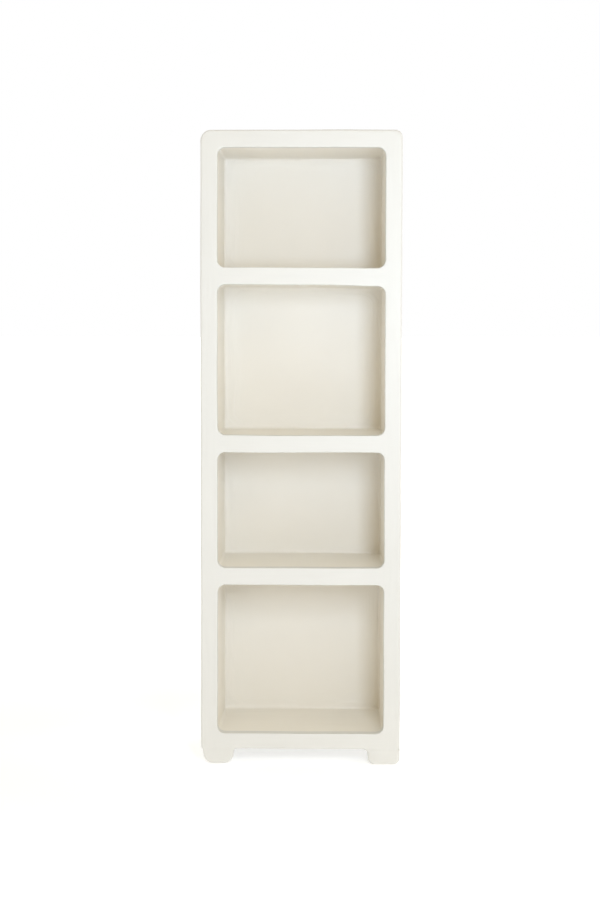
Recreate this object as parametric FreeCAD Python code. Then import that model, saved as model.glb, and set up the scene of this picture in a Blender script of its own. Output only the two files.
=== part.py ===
import FreeCAD, Part
import os

# A 1:12 scale painted wooden bookcase: four open compartments, tall, narrow and shallow.
# The two sides are housed for five equal boards (bottom, three shelves, top). A one-piece frame
# with four round-cornered windows is glued and pinned over the front edges, a thin panel closes
# the back in rebates, and four small blocks, each on one dowel, are the feet.
#
# Millimetres, +Z up. The origin is on the ground under the middle of the case. The front faces -Y,
# and +X is on the right of someone who stands in front of it.

# Carcass
OPENING_WIDTH = 46.0
CLEAR_HEIGHTS = (41.8, 32.2, 41.5, 32.8)  # the four compartments, from the bottom up
SHELF_DEPTH = 30.0
SHELF_THICKNESS = 4.5
SIDE_THICKNESS = 4.6
HOUSING_DEPTH = 1.5  # how far a board's end goes into a side
CASE_CORNER_RADIUS = 2.5  # top left and right corners, all the way back

# Front frame
FRAME_THICKNESS = 3.0
WINDOW_RADIUS = 2.0
ARRIS_RADIUS = 0.45  # softened edges of the frame and the feet

# Back panel
BACK_THICKNESS = 2.0
REBATE_WIDTH = 2.0  # how far the panel reaches over each side's rear edge

# Feet
FOOT_SIZE = 9.0
FOOT_HEIGHT = 4.2
FOOT_CORNER_RADIUS = 1.7

# Dowels of the feet
DOWEL_DIAMETER = 2.0
DOWEL_IN_FOOT = 2.4
DOWEL_IN_BOARD = 2.6
DOWEL_EDGE_DISTANCE = 2.7  # from a foot's two inner faces to the dowel's axis

# Pins: round wire with a flat head
PIN_DIAMETER = 0.7
PIN_HEAD_DIAMETER = 1.2
PIN_HEAD_THICKNESS = 0.4
PIN_POINT_LENGTH = 0.8
FRAME_PIN_LENGTH = 8.5
FRAME_PIN_SET = 0.4  # how far under the frame's face the heads are sunk, then filled over
BACK_PIN_LENGTH = 6.5

# Clearances
GLUE_GAP = 0.05  # at the boards' ends and the back panel's edges
DOWEL_END_GAP = 0.3  # left at both ends of a dowel for glue

# Places worked out from the sizes above
half_opening = OPENING_WIDTH / 2
half_width = half_opening + SIDE_THICKNESS
half_depth = (FRAME_THICKNESS + SHELF_DEPTH + BACK_THICKNESS) / 2
carcass_front = FRAME_THICKNESS - half_depth
panel_front = carcass_front + SHELF_DEPTH

board_levels = [FOOT_HEIGHT]  # undersides of the five boards, from the bottom up
for clear_height in CLEAR_HEIGHTS:
    board_levels.append(board_levels[-1] + SHELF_THICKNESS + clear_height)
case_top = board_levels[-1] + SHELF_THICKNESS

# Two places are the same when they are closer than this
TOLERANCE = 1e-4


def block(x_range, y_range, z_range):
    """A rectangular block between the given limits."""
    size = [high - low for low, high in (x_range, y_range, z_range)]
    return Part.makeBox(*size, FreeCAD.Vector(x_range[0], y_range[0], z_range[0]))


def round_long_edges(solid, level, radius):
    """Round the edges that run the solid's full depth, front to back, at one height."""
    full_depth = solid.BoundBox.YLength
    edges = [
        edge
        for edge in solid.Edges
        if abs(edge.BoundBox.YLength - full_depth) < TOLERANCE
        and abs(edge.CenterOfMass.z - level) < TOLERANCE
    ]
    return solid.makeFillet(radius, edges)


def soften_face(solid, y, edge_filter):
    """Take the sharpness off the chosen edges of the flat face at depth y."""
    edges = [
        edge
        for edge in solid.Edges
        if edge.BoundBox.YLength < TOLERANCE
        and abs(edge.CenterOfMass.y - y) < TOLERANCE
        and edge_filter(edge)
    ]
    return solid.makeFillet(ARRIS_RADIUS, edges)


def case_outline(y_range):
    """The case's front outline, with its two round top corners, between two depths."""
    slab = block((-half_width, half_width), y_range, (FOOT_HEIGHT, case_top))
    return round_long_edges(slab, case_top, CASE_CORNER_RADIUS)


def front_frame():
    """One flat board with a round-cornered window for each compartment."""
    y_range = (-half_depth, carcass_front)
    frame = case_outline(y_range)
    for level, clear_height in zip(board_levels, CLEAR_HEIGHTS):
        floor = level + SHELF_THICKNESS
        ceiling = floor + clear_height
        window = block((-half_opening, half_opening), y_range, (floor, ceiling))
        window = round_long_edges(window, floor, WINDOW_RADIUS)
        window = round_long_edges(window, ceiling, WINDOW_RADIUS)
        frame = frame.cut(window)
    return soften_face(frame, -half_depth, lambda edge: True)


def side(direction):
    """The left (-1) or right (+1) side, housed for the boards and rebated for the back panel."""
    y_range = (carcass_front, half_depth)
    inner, outer = sorted((direction * half_opening, direction * half_width))
    panel = case_outline(y_range).common(block((inner, outer), y_range, (FOOT_HEIGHT, case_top)))
    housing_x = sorted((direction * half_opening, direction * (half_opening + HOUSING_DEPTH)))
    for level in board_levels:
        panel = panel.cut(block(housing_x, y_range, (level, level + SHELF_THICKNESS)))
    rebate_x = sorted((direction * half_opening, direction * (half_opening + REBATE_WIDTH)))
    return panel.cut(block(rebate_x, (panel_front, half_depth), (FOOT_HEIGHT, case_top)))


def board(level):
    """A shelf, the top or the bottom: all five are cut alike."""
    reach = half_opening + HOUSING_DEPTH - GLUE_GAP
    y_range = (carcass_front, panel_front)
    return block((-reach, reach), y_range, (level, level + SHELF_THICKNESS))


def back_panel():
    """The thin panel over the rear edges of the boards, between the two sides' rebates."""
    reach = half_opening + REBATE_WIDTH - GLUE_GAP
    y_range = (panel_front, half_depth)
    panel = block((-reach, reach), y_range, (FOOT_HEIGHT, case_top))
    return panel.common(case_outline(y_range))


def foot(x_direction, y_direction):
    """A low block under one corner of the case, flush with its outer faces."""
    x_range = sorted((x_direction * half_width, x_direction * (half_width - FOOT_SIZE)))
    y_range = sorted((y_direction * half_depth, y_direction * (half_depth - FOOT_SIZE)))
    body = block(x_range, y_range, (0, FOOT_HEIGHT))
    body = round_long_edges(body, 0, FOOT_CORNER_RADIUS)
    for y in y_range:
        body = soften_face(body, y, lambda edge: edge.CenterOfMass.z < FOOT_HEIGHT - TOLERANCE)
    return body


def dowel_axis(x_direction, y_direction):
    """Where a foot's dowel stands: well inside the bottom board, clear of the sides."""
    inset = FOOT_SIZE - DOWEL_EDGE_DISTANCE
    return x_direction * (half_width - inset), y_direction * (half_depth - inset)


def dowel(x_direction, y_direction, end_gap):
    """A plain dowel across the joint of foot and bottom board, or its hole with an end gap."""
    x, y = dowel_axis(x_direction, y_direction)
    foot_end = FOOT_HEIGHT - DOWEL_IN_FOOT - end_gap
    length = DOWEL_IN_FOOT + DOWEL_IN_BOARD + 2 * end_gap
    return Part.makeCylinder(DOWEL_DIAMETER / 2, length, FreeCAD.Vector(x, y, foot_end))


def pin(x, z, head_y, direction, length):
    """A headed pin along Y, from the top of its head at depth head_y to its point."""
    along = FreeCAD.Vector(0, direction, 0)
    head_place = FreeCAD.Vector(x, head_y, z)
    point_place = head_place + along * (length - PIN_POINT_LENGTH)
    head = Part.makeCylinder(PIN_HEAD_DIAMETER / 2, PIN_HEAD_THICKNESS, head_place, along)
    shank = Part.makeCylinder(PIN_DIAMETER / 2, length - PIN_POINT_LENGTH, head_place, along)
    point = Part.makeCone(PIN_DIAMETER / 2, 0, PIN_POINT_LENGTH, point_place, along)
    return head.fuse([shank, point]).removeSplitter()


def frame_pins():
    """Sunk pins through the frame into the sides' front edges, level with every second board."""
    x = half_opening + SIDE_THICKNESS / 2
    levels = [level + SHELF_THICKNESS / 2 for level in board_levels[::2]]
    return [
        pin(direction * x, z, FRAME_PIN_SET - half_depth, 1, FRAME_PIN_LENGTH)
        for direction in (-1, 1)
        for z in levels
    ]


def back_pins():
    """Flush pins in the back panel: one into each board, and two for each compartment's sides."""
    rebate_middle = half_opening + REBATE_WIDTH / 2
    places = [(0, level + SHELF_THICKNESS / 2) for level in board_levels]
    for level, clear_height in zip(board_levels, CLEAR_HEIGHTS):
        middle = level + SHELF_THICKNESS + clear_height / 2
        places += [(-rebate_middle, middle), (rebate_middle, middle)]
    return [pin(x, z, half_depth, -1, BACK_PIN_LENGTH) for x, z in places]


def feet():
    """The four feet by node name, with the direction of the corner that each stands under."""
    return {
        f"{depth_name}_{side_name}_foot": (x_direction, y_direction)
        for depth_name, y_direction in (("front", -1), ("rear", 1))
        for side_name, x_direction in (("left", -1), ("right", 1))
    }


def build():
    """Every node's shape by name, with the holes for the dowels and the pins cut."""
    corners = feet()
    pins_in_frame = Part.Compound(frame_pins())
    pins_in_back = Part.Compound(back_pins())
    dowels = Part.Compound([dowel(*corner, 0) for corner in corners.values()])
    dowel_holes = Part.Compound([dowel(*corner, DOWEL_END_GAP) for corner in corners.values()])

    nodes = {
        "front_frame": front_frame().cut(pins_in_frame),
        "left_side": side(-1).cut([pins_in_frame, pins_in_back]),
        "right_side": side(1).cut([pins_in_frame, pins_in_back]),
        "back_panel": back_panel().cut(pins_in_back),
    }
    board_names = ("bottom_board", "lower_shelf", "middle_shelf", "upper_shelf", "top_board")
    for name, level in zip(board_names, board_levels):
        nodes[name] = board(level).cut([pins_in_back, dowel_holes])
    for name, corner in corners.items():
        nodes[name] = foot(*corner).cut(dowel_holes)
    nodes["foot_dowels"] = dowels
    nodes["frame_pins"] = pins_in_frame
    nodes["back_pins"] = pins_in_back
    return nodes


os.makedirs("parts", exist_ok=True)
for name, shape in build().items():
    shape.exportStep(f"parts/{name}.step")
    bounds = shape.optimalBoundingBox()
    print(
        f"{name:18s} solids {len(shape.Solids):2d}  valid {shape.isValid()}"
        f"  size {bounds.XLength:6.2f} {bounds.YLength:6.2f} {bounds.ZLength:6.2f}"
        f"  z {bounds.ZMin:7.2f} {bounds.ZMax:7.2f}"
    )
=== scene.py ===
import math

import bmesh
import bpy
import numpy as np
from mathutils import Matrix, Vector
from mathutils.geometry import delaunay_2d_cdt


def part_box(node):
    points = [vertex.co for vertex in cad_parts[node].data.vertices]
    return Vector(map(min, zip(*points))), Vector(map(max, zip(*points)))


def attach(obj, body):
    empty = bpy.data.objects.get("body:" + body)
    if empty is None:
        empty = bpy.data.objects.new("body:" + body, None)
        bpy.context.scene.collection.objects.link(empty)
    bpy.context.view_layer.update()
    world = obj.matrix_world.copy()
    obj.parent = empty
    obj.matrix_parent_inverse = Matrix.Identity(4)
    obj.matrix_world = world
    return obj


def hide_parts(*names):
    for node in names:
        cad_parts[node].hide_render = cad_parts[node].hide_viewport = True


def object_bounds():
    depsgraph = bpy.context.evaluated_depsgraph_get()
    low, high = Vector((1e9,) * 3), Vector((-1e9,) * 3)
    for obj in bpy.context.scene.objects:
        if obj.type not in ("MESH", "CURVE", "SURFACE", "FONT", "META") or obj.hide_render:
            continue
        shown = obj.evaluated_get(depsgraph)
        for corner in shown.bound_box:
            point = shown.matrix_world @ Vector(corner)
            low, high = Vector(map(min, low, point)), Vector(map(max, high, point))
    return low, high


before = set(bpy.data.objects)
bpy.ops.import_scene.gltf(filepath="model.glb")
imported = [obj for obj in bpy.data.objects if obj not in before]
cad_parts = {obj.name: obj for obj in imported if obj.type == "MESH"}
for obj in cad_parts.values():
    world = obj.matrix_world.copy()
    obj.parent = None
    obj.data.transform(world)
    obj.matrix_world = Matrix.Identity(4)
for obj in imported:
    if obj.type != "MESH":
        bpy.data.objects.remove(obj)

# %% [markdown]
# # A hand-painted dolls' house bookcase
#
# The real thing is a small wooden case under several coats of thick off-white paint. The packed
# model, loaded above, gives every board its place and size. This lesson gives each board the shape
# that sanding and painting leave: softened edges, a slight waviness, paint that has pooled in the
# corners, and brush marks. Everything is in metres, and millimetres are written as a number * MM.

MM = 0.001
cad_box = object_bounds()
case_low, case_high = (np.array(corner) for corner in cad_box)
case_height = case_high[2] - case_low[2]
board_nodes = ("bottom_board", "lower_shelf", "middle_shelf", "upper_shelf", "top_board")
foot_nodes = ("front_left_foot", "front_right_foot", "rear_left_foot", "rear_right_foot")
print("case in mm:", np.round((case_high - case_low) / MM, 2))

# %% [markdown]
# ## The camera
#
# A small object is best seen from well back through a long lens, so that its upright edges stay
# almost parallel. The camera stands a little right of the middle and at two thirds of the case's
# height, tipped down by under four degrees. It then sees the ceiling of the top compartment and the
# floors of the lower three.

# %% Camera
LENS_MM = 71.6
camera_place = Vector(
    (0.040 * case_height, case_low[1] - 2.807 * case_height, case_low[2] + 0.683 * case_height)
)
TIP_DOWN, TURN_LEFT, LEAN = (math.radians(angle) for angle in (3.71, 0.85, 0.1))

camera_data = bpy.data.cameras.new("camera")
camera_data.lens = LENS_MM
camera_data.clip_start = 10 * MM
camera = bpy.data.objects.new("camera", camera_data)
camera.location = camera_place
camera.rotation_euler = (math.pi / 2 - TIP_DOWN, -LEAN, TURN_LEFT)
bpy.context.collection.objects.link(camera)
bpy.context.scene.camera = camera
print("camera stands", round((case_low[1] - camera_place.y) / MM), "mm in front of the case")

# %% [markdown]
# ## Shader maths as Python expressions
#
# A material is a graph of nodes, and most of a graph is arithmetic. Wiring each sum by hand hides
# what it says, so the class below wraps a socket and lets Python's own operators add the Math
# nodes. Every other node comes from its one method `node`, which takes the node's type, its
# settings and what goes into its sockets.


# %% A socket that takes part in arithmetic
class Wire:
    """One output socket of a material's node tree."""

    def __init__(self, tree, socket=None):
        self.tree = tree
        self.socket = socket

    def node(self, kind, settings=None, sockets=None, output=0):
        """Add a node: settings first, then socket values or links. Returns one of its outputs."""
        made = self.tree.nodes.new(kind)
        for name, value in (settings or {}).items():
            setattr(made, name, value)
        for name, value in (sockets or {}).items():
            if isinstance(value, Wire):
                self.tree.links.new(value.socket, made.inputs[name])
            else:
                made.inputs[name].default_value = value
        return Wire(self.tree, made.outputs[output] if made.outputs else None)

    def maths(self, operation, first, second=0.0):
        return self.node("ShaderNodeMath", {"operation": operation}, {0: first, 1: second})

    def __add__(self, other):
        return self.maths("ADD", self, other)

    def __sub__(self, other):
        return self.maths("SUBTRACT", self, other)

    def __rsub__(self, other):
        return self.maths("SUBTRACT", other, self)

    def __mul__(self, other):
        return self.maths("MULTIPLY", self, other)

    def __truediv__(self, other):
        return self.maths("DIVIDE", self, other)

    def __abs__(self):
        return self.maths("ABSOLUTE", self)

    __radd__ = __add__
    __rmul__ = __mul__

    def ramp(self, low, high):
        """0 where the wire is at low, 1 where it is at high, with an eased change between."""
        return self.node(
            "ShaderNodeMapRange",
            {"interpolation_type": "SMOOTHSTEP"},
            {"Value": self, "From Min": low, "From Max": high},
        )


print("operators ready")

# %% [markdown]
# ## Made by hand, so never quite straight
#
# A sanded and painted board wanders by about a tenth of a millimetre. If each piece had its own
# waviness, two boards that meet would part company. So there is one field of small shifts for the
# whole case, and every point of every piece is moved by what the field says at its place. Boards
# that touched before the move still touch after it.
#
# A few larger slips are listed one by one: the top left corner was sanded rounder than the right
# one, the upper shelf is thicker towards the right, one foot sits a little inboard, and the feet do
# not stand quite level.

# %% The field of small shifts
rng = np.random.default_rng(12)
WAVES = 14
wave_lengths = rng.uniform(14, 70, WAVES) * MM
wave_directions = rng.normal(size=(WAVES, 3))
wave_directions /= np.linalg.norm(wave_directions, axis=1)[:, None]
wave_phases = rng.uniform(0, 2 * math.pi, (WAVES, 3))
WAVE_HEIGHT = np.array((0.014, 0.012, 0.014)) * MM

frame_low, frame_high = (np.array(corner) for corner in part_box("front_frame"))
shelf_low, _ = (np.array(corner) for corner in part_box("upper_shelf"))
foot_low, foot_high = (np.array(corner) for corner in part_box("front_left_foot"))
other_foot_low, _ = (np.array(corner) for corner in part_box("front_right_foot"))

# Each slip: its middle, how far it reaches along X, Y and Z, and its shift, all in metres.
slips = [
    ((case_high[0] - 7 * MM, frame_low[1], shelf_low[2]), (9 * MM, 50 * MM, 5 * MM), (0, 0, -0.42 * MM)),
    ((case_low[0] + 9 * MM, frame_low[1], shelf_low[2]), (12 * MM, 50 * MM, 4 * MM), (0, 0, 0.12 * MM)),
    ((0, frame_low[1], foot_high[2]), (15 * MM, 50 * MM, 3 * MM), (0, 0, 0.12 * MM)),
    ((foot_low[0], foot_low[1], 0), (6 * MM, 12 * MM, 3.2 * MM), (0.45 * MM, 0, 0.12 * MM)),
    ((foot_high[0], foot_low[1], 0), (4 * MM, 12 * MM, 3.2 * MM), (-0.1 * MM, 0, 0.22 * MM)),
    ((other_foot_low[0], foot_low[1], 0), (3 * MM, 12 * MM, 3 * MM), (0.2 * MM, 0, 0)),
]


def hand_made(points):
    """Shift points, an array of rows X, Y, Z in metres, as the maker's hand did."""
    points = np.asarray(points, float)
    shift = np.zeros_like(points)
    for length, direction, phase in zip(wave_lengths, wave_directions, wave_phases):
        along = points @ direction * (2 * math.pi / length)
        shift += np.sin(along[:, None] + phase) * WAVE_HEIGHT
    for middle, reach, move in slips:
        distance = (((points - middle) / reach) ** 2).sum(axis=1)
        shift += np.exp(-distance)[:, None] * move
    return points + shift


trial = rng.uniform(case_low, case_high, (4000, 3))
largest = np.linalg.norm(hand_made(trial) - trial, axis=1).max()
print("field of", WAVES, "waves and", len(slips), "slips, largest shift", round(largest / MM, 2), "mm")

# %% [markdown]
# ## One way to make a board
#
# Every board here is a flat shape with some thickness. Its face has an outline with rounded
# corners, perhaps with windows cut in it, and the sharp edge between face and side, the arris, is
# softened. A cube with a Bevel modifier can do that for a plain board but not for one with windows,
# and a Boolean leaves long thin faces that shade badly once the surface is made wavy.
#
# So the builder works as a turner's template does. It traces the outline as points that know which
# way is outward, and stacks copies of it from front to rear, pulled in a little near the faces to
# round the arris. Delaunay triangulation then fills the two faces, with points spread evenly over
# them for the waviness to act on.

# %% Tracing an outline
ARC_STEPS = 7


def corner_points(here, before, after, radius):
    """The points of one corner and the outward direction at each, scaled so an inset stays even."""
    into, out_of = ((b - a) / np.linalg.norm(b - a) for a, b in ((before, here), (here, after)))
    into_normal, out_normal = (np.array((d[1], -d[0])) for d in (into, out_of))
    if radius == 0:
        mitre = (into_normal + out_normal) / (1 + into_normal @ out_normal)
        return [(here, mitre)]
    turn = np.sign(into[0] * out_of[1] - into[1] * out_of[0])
    centre = here - into * radius - turn * into_normal * radius
    points = []
    for angle in np.linspace(0, math.pi / 2, ARC_STEPS):
        normal = into_normal * math.cos(angle) + out_normal * math.sin(angle)
        points.append((centre + turn * normal * radius, normal))
    return points


def trace(corners, step):
    """Points and outward directions round an outline of right-angled corners (x, z, radius)."""
    places = [np.array(corner[:2], float) for corner in corners]
    turned = [
        corner_points(place, places[i - 1], places[(i + 1) % len(places)], corners[i][2])
        for i, place in enumerate(places)
    ]
    traced = []
    for i, corner in enumerate(turned):
        traced += corner
        start, end = corner[-1][0], turned[(i + 1) % len(turned)][0][0]
        run = end - start
        length = np.linalg.norm(run)
        if length < step / 2:
            continue
        normal = np.array((run[1], -run[0])) / length
        for share in np.linspace(0, 1, max(2, round(length / step) + 1))[1:-1]:
            traced.append((start + run * share, normal))
    points, normals = zip(*traced)
    return np.array(points), np.array(normals)


def rectangle(x_range, z_range, bottom_radius=0.0, top_radius=0.0):
    """The corners of an upright rectangle, anticlockwise as seen from the front."""
    (left, right), (bottom, top) = x_range, z_range
    return [
        (left, bottom, bottom_radius),
        (right, bottom, bottom_radius),
        (right, top, top_radius),
        (left, top, top_radius),
    ]


print("a corner has", ARC_STEPS, "points")

# %% Filling a face
NEAR = 1e-4 * MM


def inside(points, loop):
    """Which of the points lie inside a closed loop, by counting crossings to the right."""
    crossings = np.zeros(len(points), int)
    for (ax, az), (bx, bz) in zip(loop, np.roll(loop, -1, axis=0)):
        if az == bz:
            continue
        spans = (points[:, 1] >= min(az, bz)) & (points[:, 1] < max(az, bz))
        meets = ax + (points[:, 1] - az) * (bx - ax) / (bz - az)
        crossings += spans & (meets > points[:, 0])
    return crossings % 2 == 1


def fill(loops, step):
    """Triangles over the first loop less the others. Returns the added points and the triangles."""
    low, high = loops[0].min(axis=0), loops[0].max(axis=0)
    columns = np.arange(low[0] + step / 2, high[0], step)
    rows = np.arange(low[1] + step / 2, high[1], step * 0.87)
    spread = np.array([(x + (i % 2) * step / 2, z) for i, z in enumerate(rows) for x in columns])
    edge_points = np.vstack(loops)
    keep = inside(spread, loops[0])
    for hole in loops[1:]:
        keep &= ~inside(spread, hole)
    spread = spread[keep]
    clear = [np.min(((edge_points - place) ** 2).sum(axis=1)) > (0.55 * step) ** 2 for place in spread]
    spread = spread[np.array(clear, bool)] if len(spread) else np.zeros((0, 2))
    places = np.vstack([edge_points, spread])
    # Where a rebate has folded the outline flat, some of its points lie on each other.
    _, first, shared = np.unique(np.round(places / NEAR), axis=0, return_index=True, return_inverse=True)
    shared = shared.ravel()
    edges = set()
    start = 0
    for loop in loops:
        turn = [(shared[start + i], shared[start + (i + 1) % len(loop)]) for i in range(len(loop))]
        edges |= {(int(a), int(b)) for a, b in turn if a != b}
        start += len(loop)
    corners = [Vector(place / MM) for place in places[first]]
    made = delaunay_2d_cdt(corners, sorted(edges), [], 1, 1e-5)
    assert len(made[0]) == len(first), "the outline crosses itself"
    triangles = first[np.array(made[2])]
    centres = places[triangles].mean(axis=1)
    keep = inside(centres, loops[0])
    for hole in loops[1:]:
        keep &= ~inside(centres, hole)
    return spread, triangles[keep]


print("faces are filled by Delaunay triangulation")

# %% Stacking the outline into a board
ARRIS_STEPS = 6
painted_pieces = []


def finish_mesh(name, points, faces):
    """A clean, closed mesh object from points in metres, shaped by the maker's hand."""
    mesh = bpy.data.meshes.new(name)
    mesh.from_pydata(hand_made(points).tolist(), [], [list(map(int, face)) for face in faces])
    shape = bmesh.new()
    shape.from_mesh(mesh)
    bmesh.ops.remove_doubles(shape, verts=shape.verts, dist=1e-8)
    bmesh.ops.dissolve_degenerate(shape, edges=shape.edges, dist=1e-8)
    bmesh.ops.recalc_face_normals(shape, faces=shape.faces)
    open_edges = sum(not edge.is_manifold for edge in shape.edges)
    shape.to_mesh(mesh)
    shape.free()
    mesh.shade_smooth()
    mesh.set_sharp_from_angle(angle=math.radians(50))
    piece = bpy.data.objects.new(name, mesh)
    bpy.context.collection.objects.link(piece)
    weighted = piece.modifiers.new("flat faces stay flat", "WEIGHTED_NORMAL")
    weighted.keep_sharp = True
    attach(piece, "root")
    painted_pieces.append(piece)
    print(f"{name}: {len(mesh.polygons)} faces, {open_edges} open edges")
    return piece


def board_rings(points, normals, y_range, radii):
    """Copies of the outline from front to rear, drawn in by the arris near both faces."""
    front, rear = y_range
    front_radius, rear_radius = radii
    quarter = [(1 - math.sin(a), 1 - math.cos(a)) for a in np.linspace(0, math.pi / 2, ARRIS_STEPS)]
    rings = [(front_radius * inset, front + front_radius * depth) for inset, depth in quarter]
    start, end = front + front_radius, rear - rear_radius
    count = max(1, round((rear - front) / BOARD_STEP))
    rings += [(0 * start, start + (end - start) * share) for share in np.linspace(0, 1, count + 1)[1:-1]]
    rings += [(rear_radius * inset, rear - rear_radius * depth) for inset, depth in reversed(quarter)]
    return [(points - normals * inset[:, None], y) for inset, y in rings]


BOARD_STEP = 1.2 * MM
HEAD_RISE = 0.1 * MM  # how far the back pins' painted heads stand off the panel


def join_shapes(shapes):
    """Several lots of points and faces as one."""
    places, faces, start = [], [], 0
    for points, polygons in shapes:
        places.append(points)
        faces += [tuple(start + i for i in polygon) for polygon in polygons]
        start += len(points)
    return np.vstack(places), faces


def slab(name, outlines, y_range, arrises, rebate=None):
    """A board from the corners of its outline and windows, with an arris radius for each face.

    An arris is a number or a function of the outline's points. A rebate is a depth and a function
    that moves the outline's points for the part of the board behind that depth.
    """
    traced = [trace(outline, BOARD_STEP) for outline in outlines]
    points, normals = (np.vstack(part) for part in zip(*traced))
    radii = [
        arris(points) if callable(arris) else np.full(len(points), float(arris)) for arris in arrises
    ]
    rings = board_rings(points, normals, y_range, radii)
    if rebate:
        depth, move = rebate
        before = [ring for ring in rings if ring[1].mean() < depth]
        behind = [(move(shape), y) for shape, y in rings if y.mean() >= depth]
        flat = np.full(len(points), depth)
        rings = before + [(points, flat), (move(points), flat)] + behind

    count = len(points)
    places = [np.column_stack((shape[:, 0], y, shape[:, 1])) for shape, y in rings]
    faces = []
    start = 0
    for loop, _ in traced:
        turn = [(start + i, start + (i + 1) % len(loop)) for i in range(len(loop))]
        for level in range(len(rings) - 1):
            near, far = level * count, (level + 1) * count
            faces += [(near + a, far + a, far + b, near + b) for a, b in turn]
        start += len(loop)
    sizes = np.cumsum([len(loop) for loop, _ in traced])[:-1]
    added = count * len(rings)
    for level, y in ((0, y_range[0]), (len(rings) - 1, y_range[1])):
        spread, triangles = fill(np.split(rings[level][0], sizes), BOARD_STEP)
        places.append(np.column_stack((spread[:, 0], np.full(len(spread), y), spread[:, 1])))
        on_ring = triangles < count
        faces += list(np.where(on_ring, triangles + level * count, triangles - count + added))
        added += len(spread)
    return finish_mesh(name, np.vstack(places), faces)


# %% [markdown]
# ## The front frame
#
# One flat board with four windows. Its corners are rounded by the cutter that made the windows,
# and its front arrises by sanding and by the paint that rounds them further. Where a foot stands
# under the frame the arris is left out, because paint has closed that joint.

# %% Front frame
ARRIS, WINDOW_ARRIS = 0.5 * MM, 0.3 * MM
SEAM = 0.06 * MM
LIP = 0.25 * MM  # how far the frame hangs below each shelf, filled out with paint
TOP_LEFT_ROUND, TOP_RIGHT_ROUND = 3.0 * MM, 2.0 * MM
BOTTOM_ROUND = 0.6 * MM
WINDOW_ROUND = 2.1 * MM

boards = {node: [np.array(corner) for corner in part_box(node)] for node in board_nodes}
side_low, side_high = (np.array(corner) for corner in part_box("right_side"))
panel_low, panel_high = (np.array(corner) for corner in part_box("back_panel"))
half_opening = side_low[0]
windows = [
    (boards[below][1][2], boards[above][0][2]) for below, above in zip(board_nodes, board_nodes[1:])
]


def case_outline(x_range, z_range):
    """The case's outline: its top corners as they were sanded, the left one rounder."""
    (left, right), (bottom, top) = x_range, z_range
    return [
        (left, bottom, BOTTOM_ROUND),
        (right, bottom, BOTTOM_ROUND),
        (right, top, TOP_RIGHT_ROUND),
        (left, top, TOP_LEFT_ROUND),
    ]


def frame_arris(points):
    """A full arris outside, a smaller one round the windows, and none where a foot is under it."""
    across, up = abs(points[:, 0]), points[:, 1]
    over_foot = (up < frame_low[2] + 0.1 * MM) & (across > other_foot_low[0] - MM)
    at_window = (across < half_opening + 0.1 * MM) & (up > windows[0][0] - 0.1 * MM)
    at_window &= up < windows[-1][1] + 0.1 * MM
    return np.where(over_foot, SEAM, np.where(at_window, WINDOW_ARRIS, ARRIS))


front_frame = slab(
    "front_frame_board",
    [case_outline((frame_low[0], frame_high[0]), (frame_low[2], frame_high[2]))]
    + [
        rectangle((-half_opening, half_opening), (low, high - LIP), WINDOW_ROUND, WINDOW_ROUND)[::-1]
        for low, high in windows
    ],
    (frame_low[1], frame_high[1]),
    (frame_arris, 0.0),
)
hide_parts("front_frame")

# %% [markdown]
# ## The sides
#
# A side's front outline has a notch for the end of each board, and at the rear it is cut back to
# let the back panel in. That cut is made by moving the inner points of the outline outwards for the
# last two millimetres of its depth. The notches and the rebate are hidden in the finished case,
# but they are the real joint, so the mesh has them.

# %% Sides
housing_reach = boards["middle_shelf"][1][0]
rebate_reach = panel_high[0]


def side_board(name, node, direction):
    """The left (-1) or right (+1) side."""
    inner, housed, outer = half_opening, housing_reach, side_high[0]
    corners = [(outer, side_low[2], BOTTOM_ROUND)]
    corners.append((outer, side_high[2], TOP_RIGHT_ROUND if direction > 0 else TOP_LEFT_ROUND))
    for board in reversed(board_nodes):
        low, high = boards[board]
        corners += [(inner, high[2], 0), (housed, high[2], 0), (housed, low[2], 0), (inner, low[2], 0)]
    # The top and bottom boards lie flush with the side's ends, so their housings are open there.
    del corners[2], corners[-1]
    if direction < 0:
        corners = [(-x, z, radius) for x, z, radius in reversed(corners)]

    def rear_arris(points):
        outside = abs(points[:, 0]) > rebate_reach + 0.5 * MM
        return np.where(outside, ARRIS, SEAM)

    def cut_back(points):
        moved = points.copy()
        moved[:, 0] = direction * np.maximum(direction * points[:, 0], rebate_reach)
        return moved

    depth_range = (side_low[1], side_high[1])
    piece = slab(name, [corners], depth_range, (SEAM, rear_arris), (panel_low[1], cut_back))
    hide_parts(node)


side_board("left_side_board", "left_side", -1)
side_board("right_side_board", "right_side", 1)

# %% [markdown]
# ## Shelves, top, bottom and back panel
#
# Five boards alike, and one thin panel. The same builder makes them from a plain rectangle. The
# joints between them stay sharp, and only what a hand can touch is softened: the rear edges of the
# panel lie against the sides with no more than a hairline between.

# %% Shelves, top and bottom
for node in board_nodes:
    low, high = boards[node]
    outline = rectangle((low[0], high[0]), (low[2], high[2]))
    piece = slab(f"{node}_painted", [outline], (low[1], high[1]), (0.0, 0.0))
    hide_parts(node)

# %% Back panel
def panel_arris(points):
    """A full arris along the open top and bottom edges, a hairline beside the two sides."""
    beside = abs(points[:, 0]) > panel_high[0] - 0.01 * MM
    return np.where(beside, SEAM, ARRIS / 2)


panel_outline = rectangle((panel_low[0], panel_high[0]), (panel_low[2], panel_high[2]))
panel_rear = panel_high[1] - HEAD_RISE
back_panel = slab("back_panel_sheet", [panel_outline], (panel_low[1], panel_rear), (0.0, panel_arris))
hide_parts("back_panel")

# %% [markdown]
# ## The pins in the back
#
# Thirteen wire pins are driven flush and painted over, so each shows only as a low blister. One
# could be turned and copied thirteen times. They are one node, so they are built as one mesh: the
# pin's profile, turned round each axis.

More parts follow.
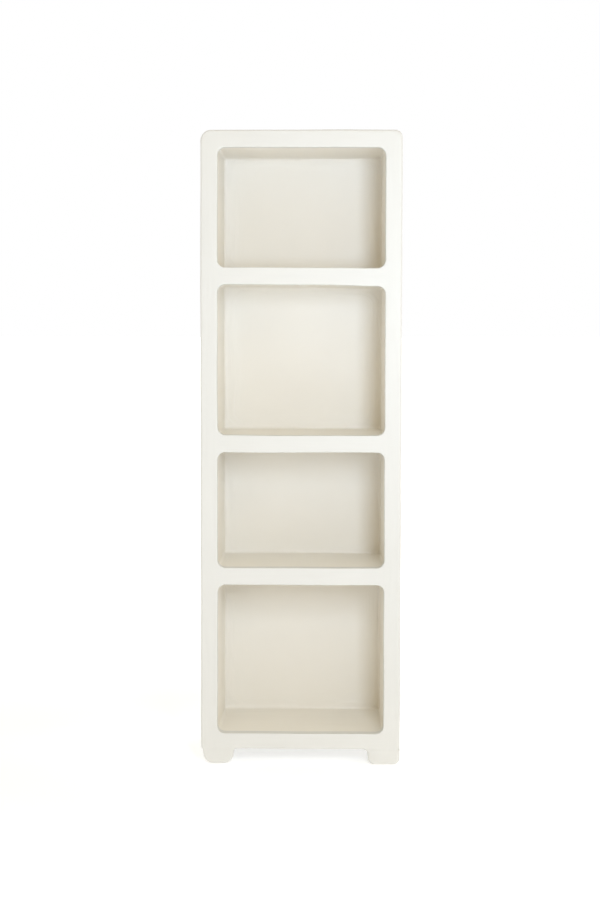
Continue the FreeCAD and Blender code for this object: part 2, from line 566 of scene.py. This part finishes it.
# %% Back pins
TURNS = 20
HEAD_RADIUS, SHANK_RADIUS = 0.6 * MM, 0.35 * MM
HEAD_THICKNESS, POINT_LENGTH = 0.4 * MM, 0.8 * MM
pins_low, pins_high = (np.array(corner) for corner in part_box("back_pins"))
profile = [
    (HEAD_RADIUS * math.sin(a), HEAD_RISE * (1 - math.cos(a))) for a in np.linspace(0, math.pi / 2, 6)[1:]
]
profile += [(HEAD_RADIUS, HEAD_THICKNESS), (SHANK_RADIUS, HEAD_THICKNESS)]
profile.append((SHANK_RADIUS, pins_high[1] - pins_low[1] - POINT_LENGTH))


def pin(x, z):
    """One pin, turned round its axis: its blister of a head, its shank and its point."""
    turn = np.linspace(0, 2 * math.pi, TURNS, endpoint=False)
    top = pins_high[1]
    places = [np.array([[x, top, z], [x, pins_low[1], z]])]
    for radius, depth in profile:
        level = np.full(TURNS, top - depth)
        places.append(np.column_stack((x + radius * np.cos(turn), level, z + radius * np.sin(turn))))
    around = [(i, (i + 1) % TURNS) for i in range(TURNS)]
    last = 2 + (len(profile) - 1) * TURNS
    faces = [(0, 2 + a, 2 + b) for a, b in around] + [(1, last + b, last + a) for a, b in around]
    for level in range(len(profile) - 1):
        near, far = 2 + level * TURNS, 2 + (level + 1) * TURNS
        faces += [(near + a, far + a, far + b, near + b) for a, b in around]
    return np.vstack(places), faces


pin_x = pins_high[0] - HEAD_RADIUS
pin_places = [(0, (boards[node][0][2] + boards[node][1][2]) / 2) for node in board_nodes]
pin_places += [(x, (low + high) / 2) for low, high in windows for x in (-pin_x, pin_x)]
back_pins = finish_mesh("back_pins_painted_heads", *join_shapes([pin(*place) for place in pin_places]))
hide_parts("back_pins")

# %% [markdown]
# ## The feet
#
# Four low blocks with well rounded lower corners. They were cut one by one, so their sizes differ
# a little, and the front left one stands in from the side by the thickness of a fingernail.

# %% Feet
FOOT_ROUND = 1.8 * MM
LEFT_FOOT_ROUND = 2.5 * MM
FOOT_ARRIS = 0.7 * MM
left_foot_inset = 0.4 * MM


def foot_arris(points):
    """Soft everywhere but at the top, where the foot meets the case."""
    share = np.clip((foot_high[2] - points[:, 1]) / (1.2 * MM), 0, 1)
    return SEAM + (FOOT_ARRIS - SEAM) * share


for node in foot_nodes:
    low, high = (np.array(corner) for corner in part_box(node))
    radius = FOOT_ROUND
    if node == "front_left_foot":
        low[0] += left_foot_inset
        radius = LEFT_FOOT_ROUND
    outline = rectangle((low[0], high[0]), (low[2], high[2]), radius)
    piece = slab(f"{node}_block", [outline], (low[1], high[1]), (foot_arris, foot_arris))
    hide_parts(node)

# %% [markdown]
# ## Paint in the corners
#
# Thick paint runs into a corner and dries there as a small hollow fillet. It catches a line of
# light along the back of each shelf. It could be a bevel on the boards, but each board is a piece
# of its own, and the paint crosses from one to the next. So each compartment gets its own beads of
# paint: one that runs right round the back, and one in each of the four corners that come forward.

# %% Beads of paint
COVE = 0.55 * MM
CORNER_COVE = 0.5 * MM
SUNK = 0.04 * MM  # how far a bead reaches into the boards behind it
cove_waves = [(rng.uniform(4, 16) * MM, rng.normal(size=3), rng.uniform(0, 7)) for _ in range(6)]


def cove_size(points):
    """How big a bead is at each point, as a share: fullest on the left, where the brush started."""
    share = np.where(points[:, 0] < 0, 1.7, 1.0)
    for length, direction, phase in cove_waves:
        along = points @ (direction / np.linalg.norm(direction)) * (2 * math.pi / length)
        share += 0.09 * np.sin(along + phase)
    return share


def back_bead(window):
    """A closed hollow fillet round the back of one compartment."""
    outline = rectangle((-half_opening, half_opening), window, CORNER_COVE, CORNER_COVE)[::-1]
    points, normals = trace(outline, BOARD_STEP)
    back = panel_low[1]
    size = COVE * cove_size(np.column_stack((points[:, 0], np.full(len(points), back), points[:, 1])))
    section = [(1 - math.sin(a), 1 - math.cos(a)) for a in np.linspace(0, math.pi / 2, ARC_STEPS)]
    rings = [(size * off_wall, size * off_back) for off_wall, off_back in section]
    rings.append((np.full(len(points), -SUNK), rings[-1][1]))
    rings.append((np.full(len(points), -SUNK), np.full(len(points), -SUNK)))
    rings.append((rings[0][0], np.full(len(points), -SUNK)))
    places = []
    for off_wall, off_back in rings:
        shape = points + normals * off_wall[:, None]
        places.append(np.column_stack((shape[:, 0], back - off_back, shape[:, 1])))
    count, levels = len(points), len(rings)
    faces = [
        (
            level * count + i,
            (level + 1) % levels * count + i,
            (level + 1) % levels * count + (i + 1) % count,
            level * count + (i + 1) % count,
        )
        for level in range(levels)
        for i in range(count)
    ]
    return np.vstack(places), faces


def corner_bead(corner, inward, size_at_ends, ends, axis):
    """A hollow fillet along a straight corner: a small three-sided stick with a hollow face.

    corner is a point on the corner line, inward the two directions off the two walls, and ends the
    stick's two ends along axis.
    """
    first, second = (np.array(direction, float) for direction in inward)
    count = max(2, round((ends[1] - ends[0]) / BOARD_STEP))
    arc = [(1 - math.sin(a), 1 - math.cos(a)) for a in np.linspace(0, math.pi / 2, ARC_STEPS)]
    places = []
    for share in np.linspace(0, 1, count + 1):
        middle = np.array(corner, float)
        middle[axis] = ends[0] + (ends[1] - ends[0]) * share
        size = size_at_ends[0] + (size_at_ends[1] - size_at_ends[0]) * share
        size *= cove_size(middle[None])[0]
        section = [first * size * u + second * size * v for u, v in arc]
        section += [second * size - first * SUNK, -(first + second) * SUNK, first * size - second * SUNK]
        places += [middle + offset for offset in section]
    ring = ARC_STEPS + 3
    faces = [
        (i * ring + j, (i + 1) * ring + j, (i + 1) * ring + (j + 1) % ring, i * ring + (j + 1) % ring)
        for i in range(count)
        for j in range(ring)
    ]
    faces += [tuple(range(ring)), tuple(count * ring + j for j in range(ring))]
    return np.array(places), faces


compartment_names = ("bottom", "third", "second", "top")
for name, window in zip(compartment_names, windows):
    shapes = [back_bead(window)]
    for x_side in (-1, 1):
        for z, z_inward in ((window[0], 1), (window[1], -1)):
            inward = ((-x_side, 0, 0), (0, 0, z_inward))
            corner = (x_side * half_opening, 0, z)
            ends = (side_low[1], panel_low[1])
            shapes.append(corner_bead(corner, inward, (CORNER_COVE, CORNER_COVE), ends, 1))
    finish_mesh(f"{name}_compartment_paint_beads", *join_shapes(shapes))

# %% Fillets of paint above the feet
FOOT_FILLET = {"front_left_foot": 0.45 * MM, "front_right_foot": 0.9 * MM}
shapes = []
for node in foot_nodes:
    low, high = (np.array(corner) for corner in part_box(node))
    x_side, y_side = np.sign(low[:2] + high[:2])
    inner_x = low[0] if x_side > 0 else high[0]
    inner_y = low[1] if y_side > 0 else high[1]
    size = FOOT_FILLET.get(node, 0.6 * MM)
    top = high[2]
    ends_y = (low[1] + SEAM, high[1] - SEAM)
    shapes.append(corner_bead((inner_x, 0, top), ((-x_side, 0, 0), (0, 0, -1)), (size, size), ends_y, 1))
    ends_x = (low[0] + 0.5 * MM, high[0] - 0.5 * MM)
    shapes.append(corner_bead((0, inner_y, top), ((0, -y_side, 0), (0, 0, -1)), (size, size), ends_x, 0))
finish_mesh("foot_paint_fillets", *join_shapes(shapes))

# %% [markdown]
# ## Brushed paint
#
# The finish is several coats of thick satin paint, laid on with a soft brush about a centimetre
# wide. Its bristles leave ridges half a millimetre or so apart that run with the brush for a
# centimetre or two and wander a little. An image of brush marks would have to be stretched over
# every board. Noise that is squeezed across the brush's way and stretched along it gives ridges
# that lie in the object's own space, so they pass unbroken from one board to the next.
#
# The case may well have one paint all over. It is given two tones: a lighter, warmer cream inside,
# which is painted light, and a darker, greyer white outside, which is painted shade, because with
# one tone this scene's light leaves the front too bright for the compartments. The two were chosen
# to look right under this light.

# %% Brush marks


def noise(place, scales, shift=(0.0, 0.0, 0.0), detail=2.0):
    """Soft noise from 0 to 1 at a place in millimetres, which is first multiplied by scales."""
    drawn = place.node(
        "ShaderNodeVectorMath", {"operation": "MULTIPLY_ADD"}, {0: place, 1: scales, 2: shift}
    )
    return place.node(
        "ShaderNodeTexNoise", {}, {"Vector": drawn, "Scale": 1.0, "Detail": detail, "Roughness": 0.55}
    )


def wandering(place):
    """The place moved about by a millimetre, so that no ridge is quite straight."""
    wander = place.node("ShaderNodeTexNoise", {}, {"Vector": place, "Scale": 0.07, "Detail": 1.0}, 1)
    off_centre = place.node(
        "ShaderNodeVectorMath", {"operation": "SUBTRACT"}, {0: wander, 1: (0.5, 0.5, 0.5)}
    )
    bend = place.node("ShaderNodeVectorMath", {"operation": "SCALE"}, {0: off_centre, "Scale": 2.5})
    return place.node("ShaderNodeVectorMath", {"operation": "ADD"}, {0: place, 1: bend})


RIDGE, BAND = 0.65, 2.4  # how far apart the fine ridges and the broad bands are, in millimetres
STROKE = 14.0  # how long a stroke is


def straight_marks(place, run):
    """Brush marks from 0 to 1 that run along one axis: 0, 1 or 2."""
    bent = wandering(place)
    fine, broad = [1 / RIDGE] * 3, [1 / BAND] * 3
    fine[run], broad[run] = 1 / STROKE, 0.5 / STROKE
    return noise(bent, fine) * 0.45 + noise(bent, broad, (7.0, 3.0, 5.0)) * 0.55


def in_millimetres(tree):
    """The surface's place in the object's own space, in millimetres."""
    start = Wire(tree)
    place = start.node("ShaderNodeTexCoord", output=3)
    return start.node("ShaderNodeVectorMath", {"operation": "SCALE"}, {0: place, "Scale": 1 / MM})


def split(place):
    """The three parts of a vector."""
    parts = place.node("ShaderNodeSeparateXYZ", {}, {"Vector": place})
    return [Wire(place.tree, socket) for socket in parts.socket.node.outputs]


# %% [markdown]
# ### Strokes that follow a compartment
#
# Inside a box the brush goes round the walls: upright beside the sides, level under a shelf and over
# the next, and it turns in a hook in between. The middle is laid off last, and is almost smooth. All
# of that is one measure: how far a point is outside a smaller box in the middle of the compartment.
# It is the same all along such a stroke, so noise drawn across it gives the ridges.

# %% Round a compartment
MIDDLE_SHARE = 0.74  # the smooth middle's size, as a share of the compartment


def compartment_marks(place):
    """Brush marks on the back panel, and how strong they are: 0 in the middle, 1 beside the walls."""
    bent = wandering(place)
    x, _, z = split(bent)
    middles = [(low + high) / 2 / MM for low, high in windows]
    halves = [(high - low) / 2 / MM for low, high in windows]
    middle, half = 0.0 * z + middles[0], 0.0 * z + halves[0]
    for lower in range(len(windows) - 1):
        shelf_middle = (windows[lower][1] + windows[lower + 1][0]) / 2 / MM
        above = z.maths("GREATER_THAN", z, shelf_middle)
        middle = middle + above * (middles[lower + 1] - middles[lower])
        half = half + above * (halves[lower + 1] - halves[lower])
    out_x = z.maths("MAXIMUM", abs(x) - MIDDLE_SHARE * half_opening / MM, 0.0)
    out_z = z.maths("MAXIMUM", abs(z - middle) - MIDDLE_SHARE * half, 0.0)
    outside = z.maths("SQRT", out_x * out_x + out_z * out_z)
    along = place.node("ShaderNodeCombineXYZ", {}, {"X": outside * (STROKE / RIDGE), "Y": x, "Z": z})
    across = [1 / STROKE] * 3
    ridges = noise(along, across) * 0.62
    bands = noise(along, [RIDGE / BAND / STROKE, 0.5 / STROKE, 0.5 / STROKE], (7.0, 3.0, 5.0)) * 0.38
    return ridges + bands, outside.ramp(0.5, 5.0)


print("the smooth middle is", round(MIDDLE_SHARE * 2 * half_opening / MM, 1), "mm wide")

# %% Round the frame
def frame_marks(place):
    """Upright brush marks on the stiles, level ones on the rails."""
    x, _, _ = split(place)
    on_stile = abs(x).ramp(half_opening / MM - 1.5, half_opening / MM + 0.5)
    upright, level = straight_marks(place, 2), straight_marks(place, 0)
    return upright * on_stile + level * (1 - on_stile)


print("strokes turn from level to upright", round(half_opening / MM, 1), "mm from the middle")

# %% The paint itself
def new_material(name):
    """An empty material and its node tree, with a principled shader already in place."""
    material = bpy.data.materials.new(name)
    material.use_nodes = True
    return material, material.node_tree, material.node_tree.nodes["Principled BSDF"]


def paint(name, tone, marks, relief):
    """Thick satin paint of one tone. Marks is a function, and relief is in millimetres."""
    material, tree, shader = new_material(name)
    place = in_millimetres(tree)
    height = marks(place)
    strength = 1.0
    if isinstance(height, tuple):
        height, strength = height
        strength = 0.25 + 0.75 * strength
    cloud = noise(place, [0.05] * 3)
    # The colour is lighter on the brush ridges and darker in their valleys, painted light and shade, most
    # of all where the marks are strong; the cloud adds a random change of tone.
    ridge_shade_and_tone = strength * (height - 0.5) * 0.07 + cloud * 0.05 + 0.955
    colour = place.node("ShaderNodeVectorMath", {"operation": "SCALE"}, {0: tone, "Scale": ridge_shade_and_tone})
    tree.links.new(colour.socket, shader.inputs["Base Color"])
    roughness = 0.42 - height * 0.08 + cloud * 0.06
    tree.links.new(roughness.socket, shader.inputs["Roughness"])
    relieved = strength * height
    bump = place.node(
        "ShaderNodeBump", {}, {"Height": relieved, "Strength": 1.0, "Distance": relief * MM}
    )
    tree.links.new(bump.socket, shader.inputs["Normal"])
    return material


# Two copies of one paint: the white is darkened, painted shade for the outside, and the cream is lighter
# and warmer, painted light for the inside.
OUTSIDE_WHITE_PAINTED_SHADE = (0.74, 0.74, 0.715)
INSIDE_CREAM_PAINTED_LIGHT = (0.915, 0.885, 0.815)
frame_paint = paint("white_paint_with_painted_shade_round_the_frame", OUTSIDE_WHITE_PAINTED_SHADE, frame_marks, 0.05)
upright_paint = paint("white_paint_with_painted_shade_brushed_upright", OUTSIDE_WHITE_PAINTED_SHADE, lambda p: straight_marks(p, 2), 0.05)
level_paint = paint("cream_paint_with_painted_light_brushed_level", INSIDE_CREAM_PAINTED_LIGHT, lambda p: straight_marks(p, 0), 0.05)
inner_paint = paint("cream_paint_with_painted_light_brushed_upright", INSIDE_CREAM_PAINTED_LIGHT, lambda p: straight_marks(p, 2), 0.05)
panel_paint = paint("cream_paint_with_painted_light_round_the_compartments", INSIDE_CREAM_PAINTED_LIGHT, compartment_marks, 0.32)


def on_inner_wall(face):
    """Whether a face of a side board looks into the compartments."""
    return abs(face.center.x) < half_opening + 0.3 * MM and abs(face.normal.x) > 0.7


def looks_out(face):
    """Whether a face of a board or of the back panel is on the outside of the case."""
    at_end = face.center.z > case_high[2] - 0.5 * MM or face.center.z < frame_low[2] + 0.5 * MM
    return at_end or face.center.y > panel_rear - 0.3 * MM


def second_paint(piece, material, chosen):
    """Give the chosen faces of a painted piece another paint."""
    piece.data.materials.append(material)
    for face in piece.data.polygons:
        face.material_index = int(chosen(face))


# The front frame, the feet, the pin heads and every outside face take the darker white with its painted
# shade; the faces inside the compartments and the beads take the lighter cream with its painted light.
for piece in painted_pieces:
    if "shelf" in piece.name or "board_painted" in piece.name:
        piece.data.materials.append(level_paint)
        second_paint(piece, frame_paint, looks_out)
    elif "back_panel" in piece.name:
        piece.data.materials.append(panel_paint)
        second_paint(piece, frame_paint, looks_out)
    elif "beads" in piece.name:
        piece.data.materials.append(inner_paint)
    elif "front_frame" in piece.name:
        piece.data.materials.append(frame_paint)
    else:
        piece.data.materials.append(upright_paint)
    if "side_board" in piece.name:
        second_paint(piece, inner_paint, on_inner_wall)
print("painted", len(painted_pieces), "pieces")

# %% [markdown]
# ## Bare birch and drawn wire
#
# The dowels and the sunk pins are out of sight, but they are real pieces and need their own look.
# Birch is pale with fine upright grain. Drawn wire has hair-fine scratches along its length. Both
# are the same stretched noise as the brush marks, only finer.


# %% Hidden pieces
def bare(name, dark, light, scales, look):
    """Grain or scratches between two colours. Look is metallic, roughness and relief in mm."""
    material, tree, shader = new_material(name)
    metallic, roughness, relief = look
    grain = noise(in_millimetres(tree), scales, detail=4.0)
    colour = grain.node(
        "ShaderNodeMix", {"data_type": "RGBA"}, {0: grain, 6: (*dark, 1), 7: (*light, 1)}, output=2
    )
    tree.links.new(colour.socket, shader.inputs["Base Color"])
    tree.links.new((roughness + grain * 0.15).socket, shader.inputs["Roughness"])
    shader.inputs["Metallic"].default_value = metallic
    bump = grain.node("ShaderNodeBump", {}, {"Height": grain, "Strength": 1.0, "Distance": relief * MM})
    tree.links.new(bump.socket, shader.inputs["Normal"])
    return material


birch = bare("bare_birch", (0.62, 0.46, 0.29), (0.82, 0.69, 0.50), [5.0, 5.0, 0.4], (0.0, 0.55, 0.03))
steel = bare("drawn_steel", (0.46, 0.45, 0.44), (0.68, 0.67, 0.66), [14.0, 0.5, 14.0], (1.0, 0.25, 0.01))
for node, material in (("foot_dowels", birch), ("frame_pins", steel)):
    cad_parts[node].data.materials.clear()
    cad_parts[node].data.materials.append(material)
back_pins.data.materials.append(steel)
for face in back_pins.data.polygons:
    face.material_index = int(face.center.y < panel_rear - 0.2 * MM)
print("birch on", len(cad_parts["foot_dowels"].data.polygons), "faces")

# %% [markdown]
# ## Light and stage
#
# White paint is the hardest thing to light: with even light from all sides it has no shape at all.
# One small soft lamp stands about 290 mm in front of the case, a little to the right and level with
# its upper half. Being so near, it looks straight into the top compartment and down into the lowest
# one, so the shadow under each shelf grows from top to bottom. A broad, weak fill on the right
# lightens the left walls.
#
# The world could be lit from an image of a room. Here arithmetic does it. The squares of a
# direction's parts share out the colours of the walls, and the product of forward and up adds the
# light that comes from high in front, which reaches the shelves but not the undersides. Low in
# front the room is dim and brown, and fills the shadows. Behind the case everything is white.

# %% The room around the case
ROOM_FRONT, ROOM_BACK = (0.26, 0.13, 0.0), (1.1, 1.1, 1.1)
ROOM_BESIDE, ROOM_ABOVE = (0.20, 0.17, 0.13), (0.3, 0.3, 0.3)
ROOM_UPPER_FRONT = (1.5, 1.42, 1.12)

world = bpy.data.worlds.new("studio")
bpy.context.scene.world = world
world.use_nodes = True
direction = Wire(world.node_tree).node("ShaderNodeTexCoord")
across, forward, up = split(direction)
behind = forward.ramp(-0.05, 0.25)
in_front = 1 - behind
above = up.maths("MAXIMUM", up, 0.0) * in_front
light_here = None
for colour, share in (
    (ROOM_BACK, behind),
    (ROOM_FRONT, forward * forward * in_front),
    (ROOM_BESIDE, across * across * in_front),
    (ROOM_ABOVE, above * up),
    (ROOM_UPPER_FRONT, above * abs(forward)),
):
    part = share.node("ShaderNodeVectorMath", {"operation": "SCALE"}, {0: colour, "Scale": share})
    if light_here:
        part = share.node("ShaderNodeVectorMath", {"operation": "ADD"}, {0: light_here, 1: part})
    light_here = part
# The room lights the case, but a plain white backdrop is what shows behind it.
seen = direction.node("ShaderNodeLightPath")
backdrop = seen.node(
    "ShaderNodeMix", {"data_type": "RGBA"}, {0: seen, 6: light_here, 7: (1, 1, 1, 1)}, output=2
)
world.node_tree.links.new(backdrop.socket, world.node_tree.nodes["Background"].inputs["Color"])
print("room and backdrop:", len(world.node_tree.nodes), "nodes")

# %% The lamp
lamp_data = bpy.data.lights.new("soft_lamp", "AREA")
lamp_data.shape = "RECTANGLE"
lamp_data.size, lamp_data.size_y = 52 * MM, 88 * MM
lamp_data.energy = 0.37
lamp_data.color = (0.72, 0.84, 1.0)
lamp = bpy.data.objects.new("soft_lamp", lamp_data)
lamp.location = (59 * MM, case_low[1] - 282.5 * MM, case_low[2] + 0.811 * case_height)
lamp_aim = Vector((0, case_low[1], lamp.location.z)) - lamp.location
lamp.rotation_euler = lamp_aim.to_track_quat("-Z", "Y").to_euler()
bpy.context.collection.objects.link(lamp)
print("lamp", round(lamp_aim.length / MM), "mm from the case")

# %% A broad fill from the right
fill_data = bpy.data.lights.new("right_fill", "AREA")
fill_data.shape = "DISK"
fill_data.size = 0.6
fill_data.energy = 1.3
fill_data.color = (1.0, 0.9, 0.75)
fill = bpy.data.objects.new("right_fill", fill_data)
case_middle = Vector((0, case_low[1], case_height / 2))
FILL_ROUND, FILL_UP = math.radians(60), math.radians(20)
fill_way = Vector(
    (math.sin(FILL_ROUND) * math.cos(FILL_UP), -math.cos(FILL_ROUND) * math.cos(FILL_UP), math.sin(FILL_UP))
)
fill.location = case_middle + fill_way
fill.rotation_euler = (-fill_way).to_track_quat("-Z", "Y").to_euler()
bpy.context.collection.objects.link(fill)
print("fill", round(math.degrees(FILL_ROUND)), "degrees round to the right")

# %% The floor
# It glows faintly, as a lit table does, and more so behind the case, where it meets the white room.
# Close round the case it glows a little more: painted light that lifts the case's shadow on the floor.
REACH = 60.0
floor_mesh = bpy.data.meshes.new("pale_floor")
floor_corners = [(-REACH, -REACH, 0), (REACH, -REACH, 0), (REACH, REACH, 0), (-REACH, REACH, 0)]
floor_mesh.from_pydata(floor_corners, [], [(0, 1, 2, 3)])
floor = bpy.data.objects.new("pale_floor", floor_mesh)
bpy.context.collection.objects.link(floor)
floor_material, floor_tree, floor_shader = new_material("pale_floor")
floor_shader.inputs["Base Color"].default_value = (0.9, 0.9, 0.9, 1)
floor_shader.inputs["Roughness"].default_value = 0.9
floor_shader.inputs["Emission Strength"].default_value = 1.0
floor_place = Wire(floor_tree).node("ShaderNodeTexCoord", output=3)
floor_parts = floor_place.node("ShaderNodeSeparateXYZ", {}, {"Vector": floor_place}, 1)
from_case = floor_place.node("ShaderNodeVectorMath", {"operation": "LENGTH"}, {0: floor_place}, 1)
# The last term is painted light: a patch of extra glow round the case, lifting its shadow.
glow_and_painted_light = 0.21 + 0.4 * floor_parts.ramp(0.0, 0.3) + 0.16 * (1 - from_case.ramp(0.02, 0.09))
glow_colour = floor_place.node(
    "ShaderNodeVectorMath", {"operation": "SCALE"}, {0: (1.0, 1.0, 1.0), "Scale": glow_and_painted_light}
)
floor_tree.links.new(glow_colour.socket, floor_shader.inputs["Emission Color"])
floor_mesh.materials.append(floor_material)
bpy.context.scene.view_settings.view_transform = "Standard"
print("floor reaches", REACH, "m each way")
